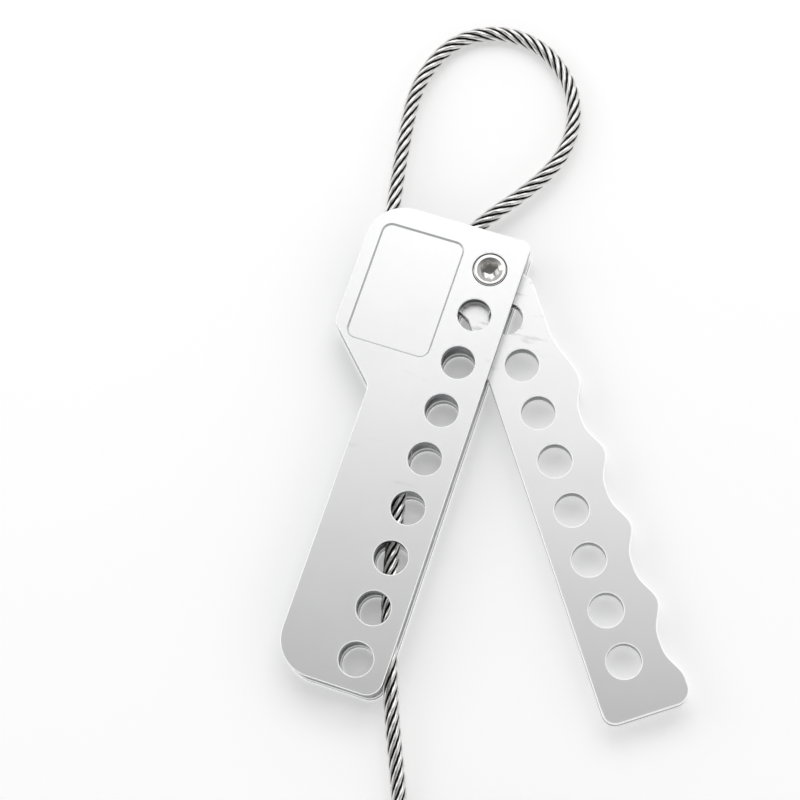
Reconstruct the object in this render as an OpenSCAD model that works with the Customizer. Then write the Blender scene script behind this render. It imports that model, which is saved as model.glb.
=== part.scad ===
// Cable lockout hasp: a slotted aluminium body, a swinging clamp lever whose
// toothed cam bites the wire rope, and one wire rope looped through the head.
// The hasp lies on its back. The origin is where the pivot axis meets the back
// face, +Z runs out of the front face and +Y points up towards the rope's loop.

/* [Body] */
// Thickness of each cheek
cheek_t = 3.2; // [2.8:0.1:3.6]
// Width of the gap between the two cheeks
slot_gap = 5.4; // [5.2:0.1:5.8]
// Distance from the pivot to the top edge
top_edge = 12.2; // [11.8:0.1:12.8]
// Distance from the pivot to the open right edge
right_edge = 10; // [9.6:0.1:10.4]
// Width of the head across the label recess
head_w = 50.7; // [49:0.1:53]
// Straight height of the head, down to its lower left corner
head_h = 42.3; // [40:0.1:44]
// Width of the stem below the head
stem_w = 34; // [33:0.1:36]
// Metal between the last padlock hole's centre and the bottom edge
end_margin = 9.4; // [9:0.1:12]
// Thickness of the solid spine at the left of the slot
spine_w = 5.2; // [4.4:0.1:5.4]

/* [Padlock holes] */
// Number of padlock holes in the body and in the lever
hole_count = 8; // [8:1:8]
// Distance from the pivot to the first hole's centre
first_hole = 15.5; // [15.5:0.1:16]
// Distance between neighbouring hole centres
hole_pitch = 16; // [16:1:16]
// Diameter of every padlock hole
hole_d = 10.4; // [8:0.1:10.6]
// Bevel at the mouth of every padlock hole
hole_bevel = 0.35; // [0.1:0.05:0.5]

/* [Label recess] */
// Width of the blank label recess
label_w = 26.5; // [20:0.5:28]
// Height of the blank label recess
label_h = 38.9; // [30:0.1:40]
// Depth of the blank label recess
label_depth = 0.5; // [0.2:0.1:0.8]

/* [Lever] */
// Thickness of the lever
lever_t = 4.6; // [4.2:0.1:4.6]
// Opening angle at which the lever is drawn
open_angle = 36; // [36:1:36]
// Distance from the hole line to the lever's straight edge
lever_left = 11.2; // [10.5:0.1:11.4]
// Distance from the hole line to the bottom of a finger scallop
scallop_low = 12.1; // [11.5:0.1:12.5]
// Distance from the hole line to the crest between two scallops
scallop_high = 15.6; // [14:0.1:16]
// Distance between neighbouring scallop crests
scallop_pitch = 24.1; // [24:0.1:24.2]
// Distance from the pivot to the lever's tail end
lever_len = 144.5; // [143:0.5:147]

/* [Cam] */
// Radius of the round hub at the crests of its teeth
hub_r = 10.7; // [10.2:0.1:10.9]
// Radius of the cam's nose
nose_r = 15.4; // [14.5:0.1:15.5]
// Depth of the teeth
tooth_depth = 0.5; // [0.2:0.1:0.8]

/* [Pivot] */
// Diameter of the bolt's and of the nut's flush head
pivot_head_d = 10.5; // [9.5:0.1:10.6]
// Thickness of the bolt's and of the nut's flush head
pivot_head_t = 2; // [1.6:0.1:2.2]
// Diameter of the bolt's shoulder
shoulder_d = 8.4; // [8:0.1:8.4]
// Width across the flats of the bolt's hexagon socket
socket_af = 5.5; // [5:0.5:6]

/* [Wire rope] */
// Diameter of the wire rope
rope_d = 4.8; // [4.8:0.1:4.8]

/* [Hidden] */
$fn = 96;
eps = 1;                                   // how far a cut runs past a face

// body levels and edges
body_t = 2 * cheek_t + slot_gap;
front_z = cheek_t + slot_gap;              // inner face of the front cheek
mid_z = body_t / 2;
head_left = right_edge - head_w;
stem_left = right_edge - stem_w;
head_low = top_edge - head_h;
neck_low = head_low - (stem_left - head_left);   // the flank falls at 45 degrees
body_bottom = -(first_hole + (hole_count - 1) * hole_pitch + end_margin);
slot_left = stem_left + spine_w;
head_corner_r = 12;
foot_corner_r = 11.7;
right_top_r = 3;
right_foot_r = 5;
flank_r = 2.5;
neck_r = 4;

// label recess, set in from the body's own edges
label_left = head_left + 4.5;
label_top = top_edge - 6.7;
label_corner_r = 3;

// clamp lever
lever_z = cheek_t + (slot_gap - lever_t) / 2;
nose_angle = 209;                          // where the cam's nose stands, lever closed
cam_start = 140;                           // where the cam leaves the round hub
tooth_step = 6;
shoulder_x = 11.7;
shoulder_y = -6.9;
first_crest = -41;
grip_top = -22;                            // where the straight edge begins to swell
last_crest = first_crest - 4 * scallop_pitch;
end_corner_r = 4.8;
heel_corner_r = 4;

// pivot stack
bush_d = 10.5;
bush_gap = 0.05;                           // radial running gap on the shoulder
washer_t = (slot_gap - lever_t) / 2 - 0.05;
washer_d = 15;
head_gap = 0.2;                            // radial gap round each flush head
thread_d = 5;
thread_z = 0.3;                            // the threaded end stops short of the back face
shoulder_z = pivot_head_t + 0.1;
flush_gap = 0.05;                          // the heads sit just below the faces
bolt_bevel = 0.35;
socket_depth = 4.2;
socket_cone = 0.9;                         // depth of the bevel at the socket's mouth
key_hole_x = 3.8;                          // the nut's two spanner holes
key_hole_d = 1.2;
key_hole_depth = 1.4;

// anchor of the rope's fixed end: a blind bore from the head's rounded corner
anchor_mouth = [-36.6, 12.2];
anchor_tilt = 9.5;                         // leans this far from the Y axis
ferrule_d = 6.8;
ferrule_len = 16;
ferrule_start = 7;                         // depth of the ferrule's mouth
anchor_bore_d = 7;
anchor_depth = 24;
grub_d = 4;
grub_depths = [11.5, 18.5];                // along the bore, under the ferrule
grub_len = 2.2;
grub_af = 2;
grub_floor = 0.6;                          // metal left under the screw's socket

// wire rope, each stretch along its own points, and its coil
rope_r = rope_d / 2;
rope_sides = 12;
loop_route = [[-35.4, 5.3, 5.9], [-36.6, 12.5, 5.9], [-38.6, 23, 5.6], [-40.4, 33, 5.1],
    [-41.9, 42.5, 4.5], [-42.8, 51.5, 3.9], [-42, 61, 3.3], [-38.6, 70.5, 2.8], [-33, 77, 2.6],
    [-25, 81, 2.5], [-16.5, 81.8, 2.5], [-8, 79.7, 2.5], [-0.5, 74.7, 2.6], [5.5, 67.3, 3],
    [9, 57.5, 3.5], [9, 47.3, 4.1], [6.2, 38.2, 4.7], [1, 29, 5.3], [-5, 20.5, 5.7],
    [-10.6, 11.5, 5.9]];
head_route = [[-10.6, 11.5, 5.9], [-13.2, 7, 5.9], [-15.3, 1, 5.9], [-16.3, -6.5, 5.9],
    [-16.2, -18.5, 5.9], [-15, -30, 5.9]];
tail_route = [[-15, -30, 5.9], [-12.6, -42, 5.9], [-9.6, -54, 5.9], [-6.8, -65, 5.9],
    [-4.3, -77, 5.9], [-1.6, -89.5, 5.9], [1.6, -102.5, 5.9], [5.6, -115, 5.9],
    [10.2, -127.5, 5.9], [15, -139.8, 5.6], [19.9, -151, 4.7]];
lead_route = [[19.9, -151, 4.7], [24.6, -162, 3.8], [28.6, -173, 3.3],
    [31.6, -185.5, 3.3], [33, -199.5, 3.3]];
end_route = [[66, -232.5, 8.2], [75, -232.7, 7.4], [84, -233.5, 5.2], [93, -234.5, 3.2]];
coil_centre = [66, -199.5];
coil_out = 33;                             // radius of the outermost turn's middle
coil_pitch = 4.9;                          // from one turn or layer to the next
coil_turns = 2.5;                          // turns across one layer
coil_lift = 0.9;                           // the tie's strap runs under the coil
coil_in = coil_out - coil_turns * coil_pitch;
coil_play = 0.1;
cap_d = 6.4;
cap_len = 15;
cap_turn = -6.3;                           // heading of the free end, from +X
tie_w = 6;
tie_t = 0.8;
tie_play = 0.6;                            // the straight strap clears the coil's curve
tie_angle = 45;

aluminium = [0.86, 0.87, 0.88];
lever_aluminium = [0.9, 0.9, 0.91];
steel = [0.72, 0.73, 0.75];
rope_steel = [0.58, 0.58, 0.6];
bronze = [0.72, 0.55, 0.32];
strap_black = [0.08, 0.08, 0.09];

function hole_y(i) = -(first_hole + (i - 1) * hole_pitch);
function unit(v) = v / norm(v);
function polar(r, a) = [r * cos(a), r * sin(a)];
function arc(c, r, from, to, steps) = [for (i = [0:steps]) c + polar(r, from + (to - from) * i / steps)];

// a prism that rounds the corner at p, whose edges leave along u and v
module corner_wedge(p, u, v, r) {
    bisector = unit(u + v);
    half = acos(u * v) / 2;
    centre = p + bisector * r / sin(half);
    reach = r / tan(half);
    out_u = unit(u * cos(2 * half) - v) * eps;
    out_v = unit(v * cos(2 * half) - u) * eps;
    difference() {
        translate([0, 0, -eps]) linear_extrude(body_t + 2 * eps)
            polygon([p - 3 * bisector, p + u * reach + out_u, centre, p + v * reach + out_v]);
        translate([centre.x, centre.y, -2 * eps]) cylinder(r = r, h = body_t + 4 * eps);
    }
}

// a hole from z0 to z1, with a bevel of the given width at its low and its high mouth
module bevelled_hole(x, y, z0, z1, d, low, high) {
    translate([x, y, z0 - eps]) cylinder(d = d, h = z1 - z0 + 2 * eps);
    if (low) translate([x, y, z0 - eps])
        cylinder(d1 = d + 2 * (low + eps), d2 = d, h = low + eps);
    if (high) translate([x, y, z1 - high])
        cylinder(d1 = d, d2 = d + 2 * (high + eps), h = high + eps);
}

module rounded_slab(x0, y0, w, h, r, t) {
    translate([x0 + r, y0, 0]) cube([w - 2 * r, h, t]);
    translate([x0, y0 + r, 0]) cube([w, h - 2 * r, t]);
    for (x = [x0 + r, x0 + w - r], y = [y0 + r, y0 + h - r])
        translate([x, y, 0]) cylinder(r = r, h = t);
}

// puts its children on the anchor's axis, a given depth into the head, pointing out
module on_anchor(depth) {
    translate([anchor_mouth.x, anchor_mouth.y, mid_z])
        rotate([0, 0, anchor_tilt]) translate([0, -depth, 0]) rotate([-90, 0, 0]) children();
}

module body_blank() {
    difference() {
        union() {
            linear_extrude(body_t) polygon([[right_edge, top_edge], [head_left, top_edge],
                [head_left, head_low], [stem_left, neck_low], [stem_left, body_bottom],
                [right_edge, body_bottom]]);
            intersection() {
                corner_wedge([stem_left, neck_low], unit([-1, 1]), [0, -1], neck_r);
                translate([head_left, body_bottom, 0]) cube([head_w, -body_bottom, body_t]);
            }
        }
        corner_wedge([head_left, top_edge], [1, 0], [0, -1], head_corner_r);
        corner_wedge([right_edge, top_edge], [-1, 0], [0, -1], right_top_r);
        corner_wedge([stem_left, body_bottom], [1, 0], [0, 1], foot_corner_r);
        corner_wedge([right_edge, body_bottom], [-1, 0], [0, 1], right_foot_r);
        corner_wedge([head_left, head_low], [0, 1], unit([1, -1]), flank_r);
    }
}

module hasp_body() {
    color(aluminium) difference() {
        body_blank();
        translate([slot_left, body_bottom - eps, cheek_t])
            cube([stem_w, top_edge - body_bottom + 2 * eps, slot_gap]);
        for (i = [1:hole_count]) {
            bevelled_hole(0, hole_y(i), front_z, body_t, hole_d, 0, hole_bevel);
            bevelled_hole(0, hole_y(i), 0, cheek_t, hole_d, hole_bevel, 0);
        }
        translate([0, 0, -eps]) cylinder(d = shoulder_d + 2 * bush_gap, h = body_t + 2 * eps);
        for (z = [-eps, body_t - pivot_head_t])
            translate([0, 0, z]) cylinder(d = pivot_head_d + 2 * head_gap, h = pivot_head_t + eps);
        translate([0, 0, body_t - label_depth])
            rounded_slab(label_left, label_top - label_h, label_w, label_h, label_corner_r,
                label_depth + eps);
        on_anchor(anchor_depth) cylinder(d = anchor_bore_d, h = anchor_depth + 6);
        for (depth = grub_depths) on_anchor(depth)
            rotate([-90, 0, 0]) cylinder(d = grub_d, h = mid_z + eps);
    }
}

// radius of the hub and cam at an angle, lever closed, before the teeth are cut
function cam_radius(a) = a < cam_start ? hub_r
    : hub_r + (nose_r - hub_r) * pow((a - cam_start) / (nose_angle - cam_start), 1.8);

// distance of the scalloped edge from the hole line
function scallop_edge(y) =
    let (rise = y > first_crest ? 180 * min(1, (y - first_crest) / (grip_top - first_crest))
                                : 360 * (first_crest - y) / scallop_pitch,
         low = y > first_crest ? shoulder_x : scallop_low,
         sharp = y > first_crest ? 1.3 : 1.6)
    low + (scallop_high - low) * pow((1 + cos(rise)) / 2, sharp);

function lever_outline() = concat(
    [for (i = [-3:34]) polar(cam_radius(i * tooth_step) - (i % 2 == 0 ? 0 : tooth_depth),
        i * tooth_step)],
    [polar(nose_r, nose_angle), [-lever_left, -12.3]],
    arc([heel_corner_r - lever_left, heel_corner_r - lever_len], heel_corner_r, 180, 270, 8),
    arc([scallop_high - end_corner_r, end_corner_r - lever_len], end_corner_r, 270, 360, 8),
    [for (y = [last_crest:1.5:grip_top]) [scallop_edge(y), y]],
    arc([shoulder_x - 3, shoulder_y], 3, 0, 60, 5));

module clamp_lever() {
    color(lever_aluminium) rotate([0, 0, open_angle]) translate([0, 0, lever_z]) difference() {
        linear_extrude(lever_t) polygon(lever_outline());
        for (i = [1:hole_count])
            bevelled_hole(0, hole_y(i), 0, lever_t, hole_d, hole_bevel, hole_bevel);
        translate([0, 0, -eps]) cylinder(d = bush_d, h = lever_t + 2 * eps);
    }
}

module hexagon(af, h) {
    cylinder(r = af / sqrt(3), h = h, $fn = 6);
}

module pivot_bolt() {
    top = body_t - flush_gap;
    seat = body_t - pivot_head_t;
    color(steel) difference() {
        union() {
            translate([0, 0, seat]) cylinder(d = pivot_head_d, h = top - bolt_bevel - seat);
            translate([0, 0, top - bolt_bevel])
                cylinder(d1 = pivot_head_d, d2 = pivot_head_d - 2 * bolt_bevel, h = bolt_bevel);
            translate([0, 0, shoulder_z]) cylinder(d = shoulder_d, h = seat - shoulder_z);
            translate([0, 0, thread_z]) cylinder(d = thread_d, h = shoulder_z - thread_z);
        }
        translate([0, 0, top - socket_depth]) hexagon(socket_af, socket_depth + eps);
        translate([0, 0, top - socket_cone])
            cylinder(d1 = socket_af, d2 = socket_af + 2 * (socket_cone + eps), h = socket_cone + eps);
    }
}

module pivot_nut() {
    color(steel) difference() {
        translate([0, 0, flush_gap]) cylinder(d = pivot_head_d, h = pivot_head_t - flush_gap);
        translate([0, 0, -eps]) cylinder(d = thread_d, h = pivot_head_t + 2 * eps);
        for (x = [-key_hole_x, key_hole_x]) translate([x, 0, -eps])
            cylinder(d = key_hole_d, h = eps + key_hole_depth);
    }
}

module lever_bushing() {
    color(bronze) translate([0, 0, lever_z]) difference() {
        cylinder(d = bush_d, h = lever_t);
        translate([0, 0, -eps]) cylinder(d = shoulder_d + 2 * bush_gap, h = lever_t + 2 * eps);
    }
}

module thrust_washer(z) {
    color(bronze) translate([0, 0, z]) difference() {
        cylinder(d = washer_d, h = washer_t);
        translate([0, 0, -eps]) cylinder(d = shoulder_d + 4 * bush_gap, h = washer_t + 2 * eps);
    }
}

module front_washer() {
    thrust_washer(front_z - washer_t);
}

module rear_washer() {
    thrust_washer(cheek_t);
}

module anchor_ferrule() {
    color(steel) on_anchor(ferrule_start + ferrule_len) cylinder(d = ferrule_d, h = ferrule_len);
}

module anchor_grub_screws() {
    color(steel) for (depth = grub_depths) on_anchor(depth) rotate([-90, 0, 0])
        translate([0, 0, ferrule_d / 2]) difference() {
            cylinder(d = grub_d, h = grub_len);
            translate([0, 0, grub_floor]) hexagon(grub_af, grub_len);
        }
}

// rope route helpers: heading at point i, and one ring of the tube's skin
function heading(route, i) =
    unit(route[min(i + 1, len(route) - 1)] - route[max(i - 1, 0)]);
function ring(route, i) =
    let (t = heading(route, i), side = unit(cross(t, [0, 0, 1])), up = cross(side, t))
    [for (k = [0:rope_sides - 1])
        route[i] + rope_r * (side * cos(k * 360 / rope_sides) + up * sin(k * 360 / rope_sides))];

module rope_tube(route) {
    rings = len(route);
    n = rope_sides;
    color(rope_steel) polyhedron(
        points = [for (i = [0:rings - 1]) each ring(route, i)],
        faces = concat(
            [[for (k = [0:n - 1]) n - 1 - k]],
            [[for (k = [0:n - 1]) (rings - 1) * n + k]],
            [for (i = [0:rings - 2], k = [0:n - 1])
                [i * n + k, i * n + (k + 1) % n, (i + 1) * n + (k + 1) % n]],
            [for (i = [0:rings - 2], k = [0:n - 1])
                [i * n + k, (i + 1) * n + (k + 1) % n, (i + 1) * n + k]]));
}

module cable_loop() {
    rope_tube(loop_route);
}

module cable_head_run() {
    rope_tube(head_route);
}

module cable_tail_run() {
    rope_tube(tail_route);
}

module cable_lead() {
    rope_tube(lead_route);
}

module cable_free_end() {
    rope_tube(end_route);
}

module cable_coil() {
    inner = coil_in - rope_r - coil_play;
    width = coil_out - coil_in + 2 * (rope_r + coil_play);
    color(rope_steel) translate([coil_centre.x, coil_centre.y, coil_lift]) rotate_extrude()
        translate([inner, 0]) square([width, coil_pitch + rope_d]);
}

module cable_end_cap() {
    finish = end_route[len(end_route) - 1];
    color(steel) translate(finish) rotate([0, 0, cap_turn]) rotate([0, 90, 0])
        cylinder(d = cap_d, h = cap_len);
}

module coil_tie() {
    inner = coil_in - rope_r - tie_play;
    width = coil_out - coil_in + 2 * (rope_r + coil_play) + tie_play;
    height = coil_lift + coil_pitch + rope_d + coil_play;
    color(strap_black) translate([coil_centre.x, coil_centre.y, 0]) rotate([0, 0, tie_angle])
        difference() {
            translate([inner - tie_t, -tie_w / 2, 0]) cube([width + 2 * tie_t, tie_w, height + tie_t]);
            translate([inner, -tie_w / 2 - eps, tie_t])
                cube([width, tie_w + 2 * eps, height - tie_t]);
        }
}

hasp_body();
clamp_lever();
pivot_bolt();
pivot_nut();
lever_bushing();
front_washer();
rear_washer();
anchor_ferrule();
anchor_grub_screws();
cable_loop();
cable_head_run();
cable_tail_run();
cable_lead();
cable_coil();
cable_free_end();
cable_end_cap();
coil_tie();
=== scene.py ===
# Cable lockout hasp lying on its back: aluminium body, clamp lever, hex pivot and a looped wire rope
import bpy
import math
import numpy as np
from mathutils import Matrix, Vector


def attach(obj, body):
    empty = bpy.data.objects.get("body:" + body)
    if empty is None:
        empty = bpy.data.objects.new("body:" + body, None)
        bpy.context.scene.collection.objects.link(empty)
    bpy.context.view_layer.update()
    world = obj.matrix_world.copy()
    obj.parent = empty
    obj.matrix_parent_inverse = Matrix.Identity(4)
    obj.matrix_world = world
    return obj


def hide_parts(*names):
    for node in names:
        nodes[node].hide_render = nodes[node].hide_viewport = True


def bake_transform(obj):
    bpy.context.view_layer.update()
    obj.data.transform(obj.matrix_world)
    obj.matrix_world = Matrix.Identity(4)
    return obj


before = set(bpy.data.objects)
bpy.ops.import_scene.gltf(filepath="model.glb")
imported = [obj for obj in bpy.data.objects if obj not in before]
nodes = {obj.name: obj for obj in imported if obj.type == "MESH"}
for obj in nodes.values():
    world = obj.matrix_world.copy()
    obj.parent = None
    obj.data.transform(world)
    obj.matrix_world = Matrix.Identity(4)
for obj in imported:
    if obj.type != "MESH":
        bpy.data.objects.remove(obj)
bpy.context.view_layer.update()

mm = 0.001
scene = bpy.context.scene
scene.view_settings.view_transform = "Standard"  # whites stay white, as on a product table


def hexColour(code):
    # sRGB hex to the linear values that sockets take
    parts = [int(code[i:i + 2], 16) / 255 for i in (1, 3, 5)]
    linear = [p / 12.92 if p <= 0.04045 else ((p + 0.055) / 1.055) ** 2.4 for p in parts]
    return (*linear, 1.0)


def newMaterial(name, colour, metallic, roughness):
    material = bpy.data.materials.new(name)
    material.use_nodes = True
    shader = material.node_tree.nodes["Principled BSDF"]
    shader.inputs["Base Color"].default_value = hexColour(colour)
    shader.inputs["Metallic"].default_value = metallic
    shader.inputs["Roughness"].default_value = roughness
    return material, shader


def addNode(material, kind, settings=None, values=None, links=None):
    # values and links are keyed by input, and a link is (node, its output)
    tree = material.node_tree
    node = tree.nodes.new(kind)
    for key, value in (settings or {}).items():
        setattr(node, key, value)
    for key, value in (values or {}).items():
        node.inputs[key].default_value = value
    for key, (source, output) in (links or {}).items():
        tree.links.new(source.outputs[output], node.inputs[key])
    return node


def join(material, source, output, target, socket):
    material.node_tree.links.new(source.outputs[output], target.inputs[socket])


def meshPiece(name, vertices, faces, material, sharp=None):
    # smooth shaded, with edges over so many degrees kept sharp
    mesh = bpy.data.meshes.new(name)
    mesh.from_pydata([tuple(v) for v in vertices], [], [tuple(f) for f in faces])
    mesh.materials.append(material)
    mesh.polygons.foreach_set("use_smooth", [True] * len(mesh.polygons))
    if sharp:
        mesh.set_sharp_from_angle(angle=math.radians(sharp))
    piece = bpy.data.objects.new(name, mesh)
    scene.collection.objects.link(piece)
    return piece


cameraSpec = {
    "aim": Vector((-0.0131, -0.0483, 0.0118)),  # on the front face
    "distance": 0.6151,
    "towards": Vector((0.160, -0.238, 0.958)),  # from the aim to the camera
    "roll": math.radians(19.3),
    "lens": 90.6,
}


def makeCamera(spec):
    data = bpy.data.cameras.new("hasp camera")
    data.lens = spec["lens"]
    data.sensor_width = 36
    data.clip_start = 0.01
    camera = bpy.data.objects.new("hasp camera", data)
    scene.collection.objects.link(camera)
    back = spec["towards"].normalized()
    right = Vector((0, 1, 0)).cross(back).normalized()
    turn = Matrix((right, back.cross(right), back)).transposed().to_4x4()
    place = Matrix.Translation(spec["aim"] + back * spec["distance"])
    camera.matrix_world = place @ turn @ Matrix.Rotation(spec["roll"], 4, "Z")
    scene.camera = camera


makeCamera(cameraSpec)
print("camera ready")

rope = {
    "diameter": 4.8, "lay": 25.5, "wireLay": 30.0, "strands": 6, "wires": 6, "relief": 0.3,
    "loop": [(-35.4, 5.3, 5.9), (-36.6, 12.5, 5.9), (-38.6, 23, 5.6), (-40.4, 33, 5.1),
             (-41.9, 42.5, 4.5), (-42.8, 51.5, 3.9), (-42, 61, 3.3), (-38.6, 70.5, 2.8),
             (-33, 77, 2.6), (-25, 81, 2.5), (-16.5, 81.8, 2.5), (-8, 79.7, 2.5),
             (-0.5, 74.7, 2.6), (5.5, 67.3, 3), (9, 57.5, 3.5), (9, 47.3, 4.1), (6.2, 38.2, 4.7),
             (1, 29, 5.3), (-5, 20.5, 5.7), (-10.6, 11.5, 5.9)],
    "head": [(-13.2, 7, 5.9), (-15.3, 1, 5.9), (-16.3, -6.5, 5.9), (-16.2, -18.5, 5.9),
             (-15, -30, 5.9)],
    "tail": [(-12.6, -42, 5.9), (-9.6, -54, 5.9), (-6.8, -65, 5.9), (-4.3, -77, 5.9),
             (-1.6, -89.5, 5.9), (1.6, -102.5, 5.9), (5.6, -115, 5.9), (10.2, -127.5, 5.9),
             (15, -139.8, 5.6), (19.9, -151, 4.7)],
    "lead": [(24.6, -162, 3.8), (28.6, -173, 3.3), (31.6, -185.5, 3.3), (33, -199.5, 3.3)],
    "end": [(75, -232.7, 7.4), (84, -233.5, 5.2), (93, -234.5, 3.2)],
    "coilCentre": (66, -199.5), "coilOut": 33, "coilPitch": 4.9, "coilTurns": 2.5, "coilLow": 3.3,
    "coilExtra": 1.25,  # the turn that climbs, and a last quarter
    "coilSteps": 24,  # route points to each turn of the coil
    "step": 0.6, "middleStep": 7,  # mm from ring to ring, and rings to a point of the cord's path
    "furrowDepth": 0.42,  # share of the radius at which neighbouring strands touch
    "split": -54,  # y where the loop's piece hands over to the tail's
    "loopAtLeast": 200,  # the split lies further along than this
    "detail": {"loop": (1, 3), "tail": (1, 3), "coil": (2, 2)},  # (ring stride, points to a wire)
}


def coilPlace(spec, turned):
    # radius and height after so many turns: inwards on the floor, up, then outwards on top
    across, pitch, out = spec["coilTurns"], spec["coilPitch"], spec["coilOut"]
    if turned < across + 1:
        radius = out - pitch * min(across, turned)
    else:
        radius = min(out, out - pitch * (2 * across + 1 - turned))
    return radius, spec["coilLow"] + pitch * min(1, max(0, turned - across))


def coilPoints(spec):
    points = []
    total = 2 * spec["coilTurns"] + spec["coilExtra"]
    steps = round(total * spec["coilSteps"])
    for i in range(1, steps + 1):
        turned = total * i / steps
        radius, height = coilPlace(spec, turned)
        angle = math.pi + 2 * math.pi * turned
        points.append((spec["coilCentre"][0] + radius * math.cos(angle),
                       spec["coilCentre"][1] + radius * math.sin(angle), height))
    return points


def smoothPath(controls, step, finePoints=24):
    # Catmull-Rom through the control points, then evenly spaced points
    p = np.array(controls, float)
    p = np.vstack([2 * p[0] - p[1], p, 2 * p[-1] - p[-2]])
    t = np.linspace(0, 1, finePoints, endpoint=False)[:, None]
    runs = []
    for a, b, c, d in zip(p[:-3], p[1:-2], p[2:-1], p[3:]):
        runs.append(0.5 * (2 * b + (c - a) * t + (2 * a - 5 * b + 4 * c - d) * t ** 2
                           + (3 * b - a - 3 * c + d) * t ** 3))
    fine = np.vstack(runs + [p[-2][None]])
    along = np.concatenate([[0], np.cumsum(np.linalg.norm(np.diff(fine, axis=0), axis=1))])
    even = np.linspace(0, along[-1], int(along[-1] / step) + 1)
    return np.stack([np.interp(even, along, fine[:, k]) for k in range(3)], 1), even


def carriedSides(path):
    # a side and an up direction at each point, carried along without twist
    tangent = np.gradient(path, axis=0)
    tangent /= np.linalg.norm(tangent, axis=1)[:, None]
    side = np.zeros_like(tangent)
    side[0] = np.cross(tangent[0], (0, 0, 1))
    for i in range(len(path)):
        last = side[max(i - 1, 0)]
        carried = last - tangent[i] * (last @ tangent[i])
        side[i] = carried / np.linalg.norm(carried)
    return side, np.cross(tangent, side)


def strandOutline(spec, perWire):
    # a strand's section, radius 1 at its crests: wires a third as wide, two thirds out
    angles, radii = [], []
    for w in range(spec["wires"]):
        for k in range(perWire):
            off = math.pi / spec["wires"] * (2 * k / perWire - 1)
            lobe = 2 / 3 * math.cos(off) + math.sqrt(max(0, 1 / 9 - (2 / 3 * math.sin(off)) ** 2))
            angles.append(2 * math.pi * w / spec["wires"] + off)
            radii.append(1 - spec["relief"] * (1 - lobe))
    return np.array(angles), np.array(radii)


def layStrands(name, spec, path, along, side, up, perWire, material):
    # six strands round a core strand, all turning to the right, each a closed tube
    strandRadius = spec["diameter"] / 6
    ringAngles, ringRadii = strandOutline(spec, perWire)
    rings, n = len(path), len(ringAngles)
    vertices, faces, furrow = [], [], []
    for s in range(spec["strands"] + 1):
        off = 0 if s == spec["strands"] else 2 * strandRadius
        place = 2 * math.pi * (s / spec["strands"] + along / spec["lay"])
        out = side * np.cos(place)[:, None] + up * np.sin(place)[:, None]
        spin = ringAngles[None, :] - 2 * math.pi * along[:, None] / spec["wireLay"]
        ring = (path + off * out)[:, None, :] + strandRadius * ringRadii[None, :, None] * (
            side[:, None, :] * np.cos(spin)[..., None] + up[:, None, :] * np.sin(spin)[..., None])
        base = s * (rings * n + 2)
        vertices.append(ring.reshape(-1, 3))
        vertices.append(path[[0, -1]] + off * out[[0, -1]])
        depth = 1 - np.linalg.norm(ring - path[:, None, :], axis=2) / (spec["diameter"] / 2)
        furrow.append(np.clip(depth / spec["furrowDepth"], 0, 1).ravel())
        furrow.append(np.ones(2))
        i, k = np.meshgrid(np.arange(rings - 1), np.arange(n), indexing="ij")
        j = (k + 1) % n
        quads = np.stack([i * n + k, i * n + j, (i + 1) * n + j, (i + 1) * n + k], -1)
        faces += (base + quads.reshape(-1, 4)).tolist()
        centre = base + rings * n
        last = base + (rings - 1) * n
        faces += [(centre, base + (k + 1) % n, base + k) for k in range(n)]
        faces += [(centre + 1, last + k, last + (k + 1) % n) for k in range(n)]
    piece = meshPiece(name, np.vstack(vertices) * mm, faces, material, sharp=60)
    shade = piece.data.attributes.new("furrow", "FLOAT", "POINT")
    shade.data.foreach_set("value", np.concatenate(furrow))
    return piece


# Stainless steel wire, cold drawn and laid up in strands: bright crests that flash in narrow
# lines, and furrows painted near-black by their depth as painted shade
def makeRopeSteel():
    material, shader = newMaterial("drawn stainless wire", "#C4C3C1", 1.0, 0.25)
    place = addNode(material, "ShaderNodeTexCoord")
    furrow = addNode(material, "ShaderNodeAttribute", {"attribute_name": "furrow"})
    stain = addNode(material, "ShaderNodeTexNoise", {}, {"Scale": 170.0, "Detail": 4.0},
                    {"Vector": (place, "Object")})  # patches 6 mm long
    steel = addNode(material, "ShaderNodeMixRGB", {},
                    {"Color1": hexColour("#DDDBD8"), "Color2": hexColour("#F7F7F6")},
                    {"Fac": (stain, "Fac")})
    # painted shade: the deeper a point lies in the furrows between strands, the nearer black its colour
    depth = addNode(material, "ShaderNodeMapRange", {"interpolation_type": "SMOOTHSTEP"},
                    {"From Min": 0.13, "From Max": 0.5}, {"Value": (furrow, "Fac")})
    wire = addNode(material, "ShaderNodeMixRGB", {}, {"Color2": hexColour("#100F0F")},
                   {"Fac": (depth, "Result"), "Color1": (steel, "Color")})
    join(material, wire, "Color", shader, "Base Color")
    marks = addNode(material, "ShaderNodeTexNoise", {}, {"Scale": 4000.0, "Detail": 2.0},
                    {"Vector": (place, "Object")})  # die marks 0.25 mm apart
    rough = addNode(material, "ShaderNodeMapRange", {}, {"To Min": 0.2, "To Max": 0.36},
                    {"Value": (marks, "Fac")})
    rougher = addNode(material, "ShaderNodeMath", {"operation": "MULTIPLY_ADD"}, {1: 0.3},
                      {0: (depth, "Result"), 2: (rough, "Result")})
    join(material, rougher, 0, shader, "Roughness")
    return material


ropeSteel = makeRopeSteel()
route = rope["loop"] + rope["head"] + rope["tail"] + rope["lead"] + coilPoints(rope) + rope["end"]
path, along = smoothPath(route, rope["step"])
side, up = carriedSides(path)
tailStart = int(np.argmax((path[:, 1] < rope["split"]) & (along > rope["loopAtLeast"])))
tailEnd = int(np.argmin(np.linalg.norm(path - np.array(rope["lead"][1]), axis=1)))
stretches = {"loop": (0, tailStart), "tail": (tailStart, tailEnd), "coil": (tailEnd, len(path) - 1)}


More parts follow.
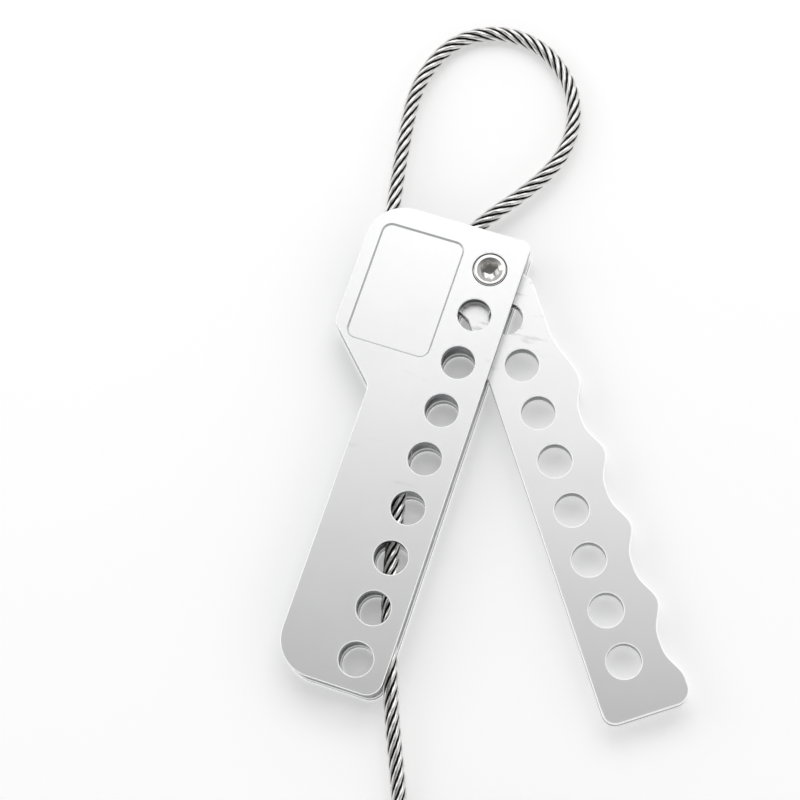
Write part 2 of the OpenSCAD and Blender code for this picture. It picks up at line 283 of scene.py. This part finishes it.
def ropePart(name, stretch):
    first, last = stretches[stretch]
    stride, perWire = rope["detail"][stretch]
    pick = np.unique(np.append(np.arange(first, last, stride), last))
    piece = layStrands(name, rope, path[pick], along[pick], side[pick], up[pick], perWire, ropeSteel)
    middle = np.vstack([path[first:last:rope["middleStep"]], path[last]]) * mm
    return piece, [tuple(map(float, p)) for p in middle], float(along[last] - along[first]) * mm


loopRope, loopMiddle, loopLength = ropePart("wire_rope_loop", "loop")
tailRope, tailMiddle, tailLength = ropePart("wire_rope_tail", "tail")
coilRope, coilMiddle, coilLength = ropePart("wire_rope_coil", "coil")
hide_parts("cable_loop", "cable_head_run")
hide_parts("cable_tail_run")
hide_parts("cable_lead", "cable_coil", "cable_free_end")
print("rope laid,", round(loopLength + tailLength + coilLength, 3), "m")


def swingWith(piece):
    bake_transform(piece)


def swingWhole(piece):
    # bakes the piece's placement into its mesh, as swingWith does
    swingWith(piece)


swingWith(loopRope)
swingWith(tailRope)
swingWhole(coilRope)

endCap = {"length": 15, "radius": 3.2, "pinches": 3, "pinchDepth": 0.4, "heading": -6.3,
          "rings": 60, "sides": 48}


def turnedPiece(name, start, heading, profile, sides, material):
    # a profile of (distance, radius) turned round the heading
    out = heading.cross(Vector((0, 0, 1))).normalized()
    rise = out.cross(heading)
    vertices = []
    for distance, radius in profile:
        for k in range(sides):
            a = 2 * math.pi * k / sides
            arm = (out * math.cos(a) + rise * math.sin(a)) * radius
            vertices.append((Vector(start) + heading * distance + arm) * mm)
    faces = [tuple(reversed(range(sides)))]
    for i in range(len(profile) - 1):
        for k in range(sides):
            j = (k + 1) % sides
            faces.append((i * sides + k, i * sides + j, (i + 1) * sides + j, (i + 1) * sides + k))
    faces.append(tuple(range((len(profile) - 1) * sides, len(profile) * sides)))
    return meshPiece(name, vertices, faces, material, sharp=30)


def capProfile(spec):
    # rounded mouth, the die's pinches, rounded end with a shallow centre mark
    points = [(0, 2.45), (0, 2.8), (0.12, 3.05), (0.4, 3.18)]
    end = spec["length"]
    for i in range(spec["rings"] + 1):
        d = 0.6 + (end - 1.2) * i / spec["rings"]
        wave = max(0, math.cos(2 * math.pi * spec["pinches"] * (d / end - 0.5))) ** 4
        points.append((d, spec["radius"] - spec["pinchDepth"] * wave))
    return points + [(end - 0.3, 3.15), (end - 0.1, 3.0), (end, 2.7), (end, 1.4), (end - 0.25, 1.2)]


# Mild steel, plated or blacked after it was swaged or cut: slightly cloudy, with the fine
# grain that a die or tool leaves
def makeSleeveSteel(name, colour, roughness):
    material, shader = newMaterial(name, colour, 1.0, roughness)
    place = addNode(material, "ShaderNodeTexCoord")
    cloud = addNode(material, "ShaderNodeTexNoise", {}, {"Scale": 350.0, "Detail": 5.0},
                    {"Vector": (place, "Object")})  # plating clouds 3 mm across
    rough = addNode(material, "ShaderNodeMapRange", {},
                    {"To Min": roughness - 0.1, "To Max": roughness + 0.14}, {"Value": (cloud, "Fac")})
    join(material, rough, "Result", shader, "Roughness")
    grain = addNode(material, "ShaderNodeTexNoise", {}, {"Scale": 2500.0, "Detail": 2.0},
                    {"Vector": (place, "Object")})  # die grain 0.4 mm
    bump = addNode(material, "ShaderNodeBump", {}, {"Strength": 0.25, "Distance": 0.00003},
                   {"Height": (grain, "Fac")})
    join(material, bump, "Normal", shader, "Normal")
    return material


sleeveSteel = makeSleeveSteel("zinc plated swaged sleeve", "#B4B5B6", 0.34)
capAngle = math.radians(endCap["heading"])
capHeading = Vector((math.cos(capAngle), math.sin(capAngle), 0))
cap = turnedPiece("rope_end_cap", rope["end"][-1], capHeading, capProfile(endCap),
                  endCap["sides"], sleeveSteel)
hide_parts("cable_end_cap")
swingWhole(cap)

strap = {"width": 6, "thick": 0.7, "slack": 0.15, "turn": 45, "rows": 7, "sides": 96}


def strapVertices(spec):
    # pulled tight round the six turns that it crosses, outside layer first
    angle, n = math.radians(spec["turn"]), spec["sides"]
    crossings = [coilPlace(rope, spec["turn"] / 360 - 0.5 + k) for k in range(1, 7)]
    centreX, centreY = rope["coilCentre"]
    vertices = []
    for layer in (spec["thick"], 0):
        reach = rope["diameter"] / 2 + spec["slack"] + layer
        for across in np.linspace(-0.5, 0.5, spec["rows"]) * spec["width"]:
            for k in range(n):
                c, s = math.cos(2 * math.pi * k / n), math.sin(2 * math.pi * k / n)
                r, z = max(crossings, key=lambda turn: turn[0] * c + turn[1] * s)
                r, z = r + reach * c, z + reach * s
                x = centreX + r * math.cos(angle) - across * math.sin(angle)
                y = centreY + r * math.sin(angle) + across * math.cos(angle)
                vertices.append((x * mm, y * mm, z * mm))
    return vertices


def strapFaces(spec):
    rows, n = spec["rows"], spec["sides"]
    faces = []
    for layer in (0, 1):
        for row in range(rows - 1):
            for k in range(n):
                a = (layer * rows + row) * n
                quad = (a + k, a + (k + 1) % n, a + n + (k + 1) % n, a + n + k)
                faces.append(quad if layer else quad[::-1])
    for row, flip in ((0, False), (rows - 1, True)):
        for k in range(n):
            a, b = row * n, (rows + row) * n
            quad = (a + k, a + (k + 1) % n, b + (k + 1) % n, b + k)
            faces.append(quad if flip else quad[::-1])
    return faces


# Polyamide hook-and-loop tape, woven: matt black, pebbled by its yarns, edges lit by its pile
def makeStrapNylon():
    material, shader = newMaterial("woven nylon tape", "#1A1B1D", 0.0, 0.85)
    shader.inputs["Sheen Weight"].default_value = 0.35
    shader.inputs["Sheen Roughness"].default_value = 0.5
    place = addNode(material, "ShaderNodeTexCoord")
    weave = addNode(material, "ShaderNodeTexVoronoi", {}, {"Scale": 1600.0},
                    {"Vector": (place, "Object")})  # yarn crossings 0.6 mm apart
    tone = addNode(material, "ShaderNodeMixRGB", {},
                   {"Color1": hexColour("#26272A"), "Color2": hexColour("#0D0D0E")},
                   {"Fac": (weave, "Distance")})
    join(material, tone, "Color", shader, "Base Color")
    bump = addNode(material, "ShaderNodeBump", {"invert": True},
                   {"Strength": 0.7, "Distance": 0.00012}, {"Height": (weave, "Distance")})
    join(material, bump, "Normal", shader, "Normal")
    return material


tie = meshPiece("coil_strap", strapVertices(strap), strapFaces(strap), makeStrapNylon(), sharp=40)
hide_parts("coil_tie")
swingWhole(tie)
print("end cap and strap made")

# where the blank recess lies, in metres with a little over all round
recess = {"centre": (-0.02295, -0.01395, 0), "halfWidth": 0.0136, "halfHeight": 0.0198, "dark": 0.6}
# scuffs: short dark rubs where parts slide, 3 to 8 mm long and slanted
scuffs = {"slant": 0.7, "scale": (90, 420, 200), "fade": 0.1, "colour": "#6E7072"}


# Aluminium 6061, milled, bead-blasted and clear anodised: an even satin that takes soft light,
# with bevels cut bright afterwards and painted white with a faint glow as painted highlight, and
# tool-cut side walls painted darker as painted shade
def makeSatinAluminium(name, tones):
    material, shader = newMaterial(name, tones["face"], 1.0, 0.4)
    place = addNode(material, "ShaderNodeTexCoord")
    shape = addNode(material, "ShaderNodeNewGeometry")
    axes = addNode(material, "ShaderNodeSeparateXYZ", {}, {}, {"Vector": (shape, "True Normal")})
    upright = addNode(material, "ShaderNodeMath", {"operation": "ABSOLUTE"}, {}, {0: (axes, "Z")})
    isFace = addNode(material, "ShaderNodeMapRange", {}, {"From Min": 0.96, "From Max": 0.99},
                     {"Value": (upright, 0)})
    isWall = addNode(material, "ShaderNodeMapRange", {},
                     {"From Min": 0.1, "From Max": 0.25, "To Min": 1, "To Max": 0},
                     {"Value": (upright, 0)})
    # the recess step, its walls and bevels, is darkened as a painted shadow line
    fromRecess = addNode(material, "ShaderNodeVectorMath", {"operation": "SUBTRACT"},
                         {1: recess["centre"]}, {0: (place, "Object")})
    spread = addNode(material, "ShaderNodeVectorMath", {"operation": "ABSOLUTE"}, {},
                     {0: (fromRecess, "Vector")})
    spreadAxes = addNode(material, "ShaderNodeSeparateXYZ", {}, {}, {"Vector": (spread, "Vector")})
    inWidth = addNode(material, "ShaderNodeMath", {"operation": "LESS_THAN"},
                      {1: recess["halfWidth"]}, {0: (spreadAxes, "X")})
    inHeight = addNode(material, "ShaderNodeMath", {"operation": "LESS_THAN"},
                       {1: recess["halfHeight"]}, {0: (spreadAxes, "Y")})
    inRecess = addNode(material, "ShaderNodeMath", {"operation": "MULTIPLY"}, {},
                       {0: (inWidth, "Value"), 1: (inHeight, "Value")})
    stepShade = addNode(material, "ShaderNodeMapRange", {}, {"To Min": recess["dark"], "To Max": 0.0},
                       {"Value": (isFace, "Result")})
    step = addNode(material, "ShaderNodeMath", {"operation": "MULTIPLY"}, {},
                   {0: (inRecess, "Value"), 1: (stepShade, "Result")})
    isDark = addNode(material, "ShaderNodeMath", {"operation": "MAXIMUM"}, {},
                     {0: (isWall, "Result"), 1: (step, "Value")})
    cloud = addNode(material, "ShaderNodeTexNoise", {}, {"Scale": 45.0, "Detail": 4.0},
                    {"Vector": (place, "Object")})  # anodising clouds 20 mm across
    faceTone = addNode(material, "ShaderNodeMixRGB", {},
                       {"Color1": hexColour(tones["face"]), "Color2": hexColour(tones["cloud"])},
                       {"Fac": (cloud, "Fac")})
    bevelHighlighted = addNode(material, "ShaderNodeMixRGB", {}, {"Color1": hexColour(tones["bevel"])},
                       {"Fac": (isFace, "Result"), "Color2": (faceTone, "Color")})
    # painted shade: the side walls and bores, and the recess step, take a darker grey colour
    wallShaded = addNode(material, "ShaderNodeMixRGB", {}, {"Color2": hexColour(tones["wallShade"])},
                     {"Fac": (isDark, "Value"), "Color1": (bevelHighlighted, "Color")})
    stretched = addNode(material, "ShaderNodeMapping", {},
                        {"Rotation": (0, 0, scuffs["slant"]), "Scale": scuffs["scale"]},
                        {"Vector": (place, "Object")})
    rubs = addNode(material, "ShaderNodeTexNoise", {}, {"Scale": 1.0, "Detail": 3.0},
                   {"Vector": (stretched, "Vector")})
    rub = addNode(material, "ShaderNodeMapRange", {},
                  {"From Min": tones["rubFrom"], "From Max": tones["rubFrom"] + scuffs["fade"],
                   "To Max": tones["rub"]}, {"Value": (rubs, "Fac")})
    fromPivot = addNode(material, "ShaderNodeVectorMath", {"operation": "LENGTH"}, {},
                        {0: (place, "Object")})
    near = addNode(material, "ShaderNodeMapRange", {},
                   {"From Min": tones["rubReach"], "From Max": tones["rubReach"] / 2},
                   {"Value": (fromPivot, "Value")})
    rubbed = addNode(material, "ShaderNodeMath", {"operation": "MULTIPLY"}, {},
                     {0: (rub, "Result"), 1: (near, "Result")})
    scuffed = addNode(material, "ShaderNodeMixRGB", {}, {"Color2": hexColour(scuffs["colour"])},
                      {"Fac": (rubbed, "Value"), "Color1": (wallShaded, "Color")})
    join(material, scuffed, "Color", shader, "Base Color")
    grain = addNode(material, "ShaderNodeTexNoise", {}, {"Scale": 2600.0, "Detail": 2.0},
                    {"Vector": (place, "Object")})  # bead marks, 0.1 mm in life, drawn 0.4 mm to show
    roughFace = addNode(material, "ShaderNodeMapRange", {}, {"To Min": 0.36, "To Max": 0.5},
                        {"Value": (grain, "Fac")})
    roughAll = addNode(material, "ShaderNodeMix", {"data_type": "FLOAT"}, {"A": 0.22},
                       {"Factor": (isFace, "Result"), "B": (roughFace, "Result")})
    join(material, roughAll, "Result", shader, "Roughness")
    # bevels get little metal, so their white colour shows as a painted highlight line
    notBevel = addNode(material, "ShaderNodeMath", {"operation": "ADD"}, {},
                       {0: (isFace, "Result"), 1: (isDark, "Value")})
    metal = addNode(material, "ShaderNodeMapRange", {}, {"To Min": 0.12, "To Max": 1.0},
                    {"Value": (notBevel, "Value")})
    join(material, metal, "Result", shader, "Metallic")
    flatter = addNode(material, "ShaderNodeMix", {"data_type": "VECTOR"}, {},
                      {0: (isFace, "Result"), 4: (shape, "Normal"), 5: (shape, "True Normal")})
    # painted highlight: the bevels glow faintly in their white tone, though they are no lamp
    bevelGlow = addNode(material, "ShaderNodeMapRange", {}, {"To Min": tones["paintedBevelGlow"], "To Max": 0.0},
                    {"Value": (notBevel, "Value")})
    join(material, bevelGlow, "Result", shader, "Emission Strength")
    shader.inputs["Emission Color"].default_value = hexColour(tones["bevel"])
    bump = addNode(material, "ShaderNodeBump", {}, {"Strength": 0.3, "Distance": 0.00002},
                   {"Height": (grain, "Fac"), "Normal": (flatter, 1)})
    join(material, bump, "Normal", shader, "Normal")
    return material


# rub is the scuffs' strength, and rubReach how far from the pivot they go, in metres. The white bevel
# tone and the bevels' glow are painted highlight.
# the dark grey wall tone is painted shade on the side walls and bores
bodyTones = {"face": "#E9E9E9", "cloud": "#E1E1E2", "bevel": "#FFFFFF", "wallShade": "#7C8083",
             "rub": 0.08, "rubFrom": 0.68, "rubReach": 0.3, "paintedBevelGlow": 0.18}
leverTones = {"face": "#EAEAEA", "cloud": "#E2E2E2", "bevel": "#FFFFFF", "wallShade": "#7C7F81",
              "rub": 0.45, "rubFrom": 0.57, "rubReach": 0.036, "paintedBevelGlow": 0.22}
bodyAluminium = makeSatinAluminium("blasted anodised aluminium body", bodyTones)
leverAluminium = makeSatinAluminium("blasted anodised aluminium lever", leverTones)


def dress(node, material, edge=0.0):
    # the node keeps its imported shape, its sharp edges get a round (in mm), its flats shade flat
    piece = nodes[node]
    piece.data.materials.clear()
    piece.data.materials.append(material)
    piece.data.polygons.foreach_set("use_smooth", [True] * len(piece.data.polygons))
    weld = piece.modifiers.new("weld", "WELD")
    weld.merge_threshold = 2e-6
    flats = piece.modifiers.new("whole flats", "DECIMATE")
    flats.decimate_type = "DISSOLVE"
    flats.angle_limit = math.radians(0.4)
    if edge:
        bevel = piece.modifiers.new("edge round", "BEVEL")
        bevel.width = edge * mm
        bevel.segments = 2
        bevel.limit_method = "ANGLE"
        bevel.angle_limit = math.radians(50)
        bevel.use_clamp_overlap = False
    even = piece.modifiers.new("even shading", "WEIGHTED_NORMAL")
    even.weight = 100


dress("hasp_body", bodyAluminium, 0.3)
dress("clamp_lever", leverAluminium, 0.45)
print("body and lever dressed")

bolt = {
    "top": 11.75, "head": 5.35, "seat": 9.8, "rim": 0.75,  # rim is the round over the head's edge
    "shoulder": 4.2, "low": 2.1, "thread": 2.5, "threadDepth": 0.3, "threadPitch": 0.34, "tip": 0.3,
    "flats": 5.5, "socketDepth": 4.2, "mouth": 4.05, "mouthDepth": 0.7, "sides": 96,
}


def boltRings(spec):
    # (radius, height, share of the hexagon), from the thread's tip over the head into the socket
    rings = [(1.9, spec["tip"], 0), (spec["thread"] - 0.2, spec["tip"] + 0.25, 0)]
    for i in range(9):  # the thread's last turns
        cut = spec["threadDepth"] if i % 2 else 0
        rings.append((spec["thread"] - cut, spec["tip"] + 0.4 + spec["threadPitch"] / 2 * i, 0))
    rings += [(spec["thread"], spec["low"], 0), (spec["shoulder"] - 0.2, spec["low"], 0),
              (spec["shoulder"], spec["low"] + 0.2, 0), (spec["shoulder"], spec["seat"], 0),
              (spec["head"] - 0.15, spec["seat"], 0), (spec["head"], spec["seat"] + 0.15, 0)]
    for i in range(7):  # a quarter round over the head's edge
        a = math.radians(15 * i)
        rings.append((spec["head"] - spec["rim"] * (1 - math.cos(a)),
                      spec["top"] - spec["rim"] * (1 - math.sin(a)), 0))
    apothem = spec["flats"] / 2
    for i in range(9):  # the chamfer at the socket's mouth
        share = i / 8
        rings.append((spec["mouth"] + (apothem - spec["mouth"]) * share,
                      spec["top"] - spec["mouthDepth"] * share, 1))
    floor = spec["top"] - spec["socketDepth"]  # the drill's point lies below it
    return rings + [(0.5, floor + 0.15, 1), (0.5, floor, 0.9), (0.3, floor - 0.6, 0)]


def boltVertices(spec):
    vertices = []
    for radius, height, hexShare in boltRings(spec):
        for k in range(spec["sides"]):
            turned = 360 * k / spec["sides"]
            hexRadius = spec["flats"] / 2 / math.cos(math.radians(turned % 60 - 30))
            r, a = max(radius, hexShare * hexRadius), math.radians(turned)
            vertices.append((r * math.cos(a) * mm, r * math.sin(a) * mm, height * mm))
    return vertices


def boltFaces(spec):
    n, last = spec["sides"], len(boltRings(spec)) - 1
    faces = [tuple(reversed(range(n)))]
    for i in range(last):
        for k in range(n):
            j = (k + 1) % n
            faces.append((i * n + k, i * n + j, (i + 1) * n + j, (i + 1) * n + k))
    return faces + [tuple(range(last * n, (last + 1) * n))]


# Stainless 304 or bearing bronze, turned and polished: near-mirror with faint lathe rings
def makePolishedSteel(name, colour, low, high):
    material, shader = newMaterial(name, colour, 1.0, low)
    place = addNode(material, "ShaderNodeTexCoord")
    rings = addNode(material, "ShaderNodeTexWave", {"wave_type": "RINGS", "rings_direction": "Z"},
                    {"Scale": 900.0, "Distortion": 1.5, "Detail": 2.0},
                    {"Vector": (place, "Object")})  # tool feed 0.35 mm a turn
    rough = addNode(material, "ShaderNodeMapRange", {}, {"To Min": low, "To Max": high},
                    {"Value": (rings, "Fac")})
    join(material, rough, "Result", shader, "Roughness")
    bump = addNode(material, "ShaderNodeBump", {}, {"Strength": 0.06, "Distance": 0.00002},
                   {"Height": (rings, "Fac")})
    join(material, bump, "Normal", shader, "Normal")
    smear = addNode(material, "ShaderNodeTexNoise", {}, {"Scale": 500.0, "Detail": 3.0},
                    {"Vector": (place, "Object")})  # handling smears 2 mm wide
    tone = addNode(material, "ShaderNodeMixRGB", {},
                   {"Color1": hexColour(colour), "Color2": hexColour("#C4C1BD")},
                   {"Fac": (smear, "Fac")})
    join(material, tone, "Color", shader, "Base Color")
    return material


polishedSteel = makePolishedSteel("polished stainless bolt", "#E0DFDD", 0.1, 0.2)
pivot = meshPiece("hex_pivot_bolt", boltVertices(bolt), boltFaces(bolt), polishedSteel, sharp=20)
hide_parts("pivot_bolt")
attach(pivot, "hasp")

bearingBronze = makePolishedSteel("turned bearing bronze", "#C79A5E", 0.28, 0.4)
blackOxide = makeSleeveSteel("black oxide grub screw", "#4A4A4D", 0.42)
crimpSteel = makeSleeveSteel("crimped steel ferrule", "#A5A5A6", 0.4)
dress("pivot_nut", polishedSteel, 0.15)
dress("lever_bushing", bearingBronze)
dress("front_washer", bearingBronze)
dress("rear_washer", bearingBronze)
dress("anchor_ferrule", crimpSteel, 0.2)
dress("anchor_grub_screws", blackOxide, 0.08)
print("pivot and small parts dressed")

# Matt emulsion on board: even, no gloss, barely mottled
floorPaint, floorShader = newMaterial("matt white board", "#F4F4F4", 0.0, 0.9)
floorShader.inputs["Emission Color"].default_value = hexColour("#FFFFFF")
floorShader.inputs["Emission Strength"].default_value = 0.3  # lit from below, as on a light table
floorReach, floorTop = 6.0, -0.0001  # a hair under the hasp, in metres
corners = [(x * floorReach, y * floorReach, floorTop) for x, y in ((-1, -1), (1, -1), (1, 1), (-1, 1))]
floor = meshPiece("floor", corners, [(0, 1, 2, 3)], floorPaint)

# A light tent: white walls all round, dimmer overhead where the roof is left open
studio = {"tent": "#EDEDED", "walls": 0.87, "roof": 0.2, "roofFrom": 0.55, "roofTo": 0.85}
world = bpy.data.worlds.new("studio")
world.use_nodes = True
backdrop = world.node_tree.nodes["Background"]
backdrop.inputs["Color"].default_value = hexColour(studio["tent"])
heading = addNode(world, "ShaderNodeTexCoord")
height = addNode(world, "ShaderNodeSeparateXYZ", {}, {}, {"Vector": (heading, "Generated")})
glow = addNode(world, "ShaderNodeMapRange", {"interpolation_type": "SMOOTHSTEP"},
               {"From Min": studio["roofFrom"], "From Max": studio["roofTo"],
                "To Min": studio["walls"], "To Max": studio["roof"]}, {"Value": (height, "Z")})
join(world, glow, "Result", backdrop, "Strength")
scene.world = world

softBoxes = {
    "top box": {"place": (-0.15, 0.69, 1.15), "aim": (-0.05, 0.05, 0), "size": (1.3, 1.0), "power": 7.4},
    "side box": {"place": (-1.1, -0.1, 0.8), "aim": (0, -0.05, 0), "size": (0.5, 1.0), "power": 1.5},
}
for name, box in softBoxes.items():
    data = bpy.data.lights.new(name, "AREA")
    data.shape = "RECTANGLE"
    data.size, data.size_y = box["size"]
    data.energy = box["power"]
    light = bpy.data.objects.new(name, data)
    scene.collection.objects.link(light)
    light.location = box["place"]
    beam = Vector(box["aim"]) - Vector(box["place"])
    light.rotation_euler = beam.to_track_quat("-Z", "Y").to_euler()
print("lights ready")
